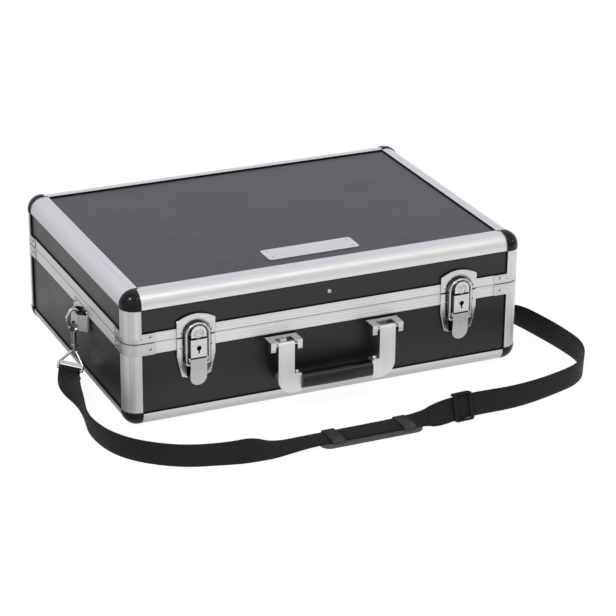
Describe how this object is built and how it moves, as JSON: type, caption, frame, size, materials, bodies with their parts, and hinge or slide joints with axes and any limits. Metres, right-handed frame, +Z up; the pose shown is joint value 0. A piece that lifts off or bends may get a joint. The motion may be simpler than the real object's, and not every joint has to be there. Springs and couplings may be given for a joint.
{
  "type": "aluminium case",
  "caption": "Black-panelled case in rounded aluminium edging with a hinged lid, key latches with wire bails, a folding carry handle and a hook-on shoulder strap.",
  "frame": {"origin": "on the floor under the middle of the shell, without the handle, hinges and strap", "axes": "+X along the front from left to right, +Y from front to back, +Z up"},
  "size_m": [0.5675, 0.4602, 0.1514],
  "materials": {
    "panel": "black laminate with a fine dimpled grain",
    "extrusion": "satin anodised",
    "lining": "thin soft sheet",
    "corner_cap": "moulded",
    "corner_bracket": "plated",
    "plate": "bare satin plate",
    "rivet": "bright",
    "latch_metal": "nickel plated",
    "handle_metal": "satin plated",
    "grip": "moulded",
    "hinge_metal": "plated",
    "strap_metal": "nickel plated",
    "webbing": "woven webbing",
    "pad": "moulded soft pad",
    "slide": "moulded"
  },
  "bodies": {
    "base": {"base_back_panel": "panel", "base_bottom_panel": "panel", "base_corner_brackets": "corner_bracket", "base_corner_caps": "corner_cap", "base_corner_posts": "extrusion", "base_edge_profiles": "extrusion", "base_front_panel": "panel", "base_left_panel": "panel", "base_lining": "lining", "base_right_panel": "panel", "base_rim": "extrusion", "base_rivets": "rivet", "handle_bracket_left": "handle_metal", "handle_bracket_right": "handle_metal", "handle_pivot_pins": "handle_metal", "hinge_leaves_base": "hinge_metal", "hinge_pins": "hinge_metal", "latch_lock_box_left": "latch_metal", "latch_lock_box_right": "latch_metal", "latch_pivot_pins": "latch_metal", "latch_plate_left": "latch_metal", "latch_plate_right": "latch_metal", "shoulder_pad": "pad", "shoulder_strap": "webbing", "snap_hook_left": "strap_metal", "snap_hook_right": "strap_metal", "strap_eye_left": "strap_metal", "strap_eye_right": "strap_metal", "strap_loop_left": "strap_metal", "strap_loop_right": "strap_metal", "strap_slide": "slide"},
    "lid": {"hinge_leaves_lid": "hinge_metal", "latch_keeper_left": "latch_metal", "latch_keeper_right": "latch_metal", "lid_back_panel": "panel", "lid_corner_brackets": "corner_bracket", "lid_corner_caps": "corner_cap", "lid_corner_posts": "extrusion", "lid_edge_profiles": "extrusion", "lid_front_panel": "panel", "lid_left_panel": "panel", "lid_lining": "lining", "lid_plate": "plate", "lid_right_panel": "panel", "lid_rim": "extrusion", "lid_rivets": "rivet", "lid_top_panel": "panel"},
    "latch lever left": {"latch_lever_left": "latch_metal"},
    "latch lever right": {"latch_lever_right": "latch_metal"},
    "latch bail left": {"latch_bail_left": "latch_metal"},
    "latch bail right": {"latch_bail_right": "latch_metal"},
    "lock cam left": {"latch_lock_cam_left": "latch_metal"},
    "lock cam right": {"latch_lock_cam_right": "latch_metal"},
    "handle": {"handle_arm_left": "handle_metal", "handle_arm_right": "handle_metal", "handle_grip": "grip"},
    "hook gate left": {"snap_hook_gate_left": "strap_metal"},
    "hook gate right": {"snap_hook_gate_right": "strap_metal"}
  },
  "joints": [
    {"name": "lid_hinge", "type": "hinge", "parent": "base", "child": "lid", "pos_m": [0, 0.1692, 0.0955], "axis": [-1, 0, 0], "range_deg": [0, 100]},
    {"name": "handle_swing", "type": "hinge", "parent": "base", "child": "handle", "pos_m": [0, -0.183, 0.076], "axis": [-1, 0, 0], "range_deg": [0, 95]},
    {"name": "latch_lever_left", "type": "hinge", "parent": "base", "child": "latch lever left", "pos_m": [-0.1533, -0.171, 0.071], "axis": [-1, 0, 0], "range_deg": [0, 90]},
    {"name": "latch_bail_left", "type": "hinge", "parent": "latch lever left", "child": "latch bail left", "pos_m": [-0.1533, -0.171, 0.0655], "axis": [-1, 0, 0], "range_deg": [-90, 0]},
    {"name": "lock_cam_left", "type": "hinge", "parent": "base", "child": "lock cam left", "pos_m": [-0.1533, -0.168, 0.0846], "axis": [0, 1, 0], "range_deg": [0, 90]},
    {"name": "hook_gate_left", "type": "hinge", "parent": "base", "child": "hook gate left", "pos_m": [-0.2435, -0.026, 0.063], "axis": [0, 1, 0], "range_deg": [0, 25], "stiffness_Nm_per_rad": 0.02, "springref_deg": -8.59},
    {"name": "latch_lever_right", "type": "hinge", "parent": "base", "child": "latch lever right", "pos_m": [0.1533, -0.171, 0.071], "axis": [-1, 0, 0], "range_deg": [0, 90]},
    {"name": "latch_bail_right", "type": "hinge", "parent": "latch lever right", "child": "latch bail right", "pos_m": [0.1533, -0.171, 0.0655], "axis": [-1, 0, 0], "range_deg": [-90, 0]},
    {"name": "lock_cam_right", "type": "hinge", "parent": "base", "child": "lock cam right", "pos_m": [0.1533, -0.168, 0.0846], "axis": [0, 1, 0], "range_deg": [0, 90]},
    {"name": "hook_gate_right", "type": "hinge", "parent": "base", "child": "hook gate right", "pos_m": [0.2435, -0.026, 0.063], "axis": [0, -1, 0], "range_deg": [0, 25], "stiffness_Nm_per_rad": 0.02, "springref_deg": -8.59}
  ],
  "couplings": [
    {"joint": "latch_bail_left", "follows": "latch_lever_left", "ratio": -1},
    {"joint": "latch_bail_right", "follows": "latch_lever_right", "ratio": -1}
  ]
}
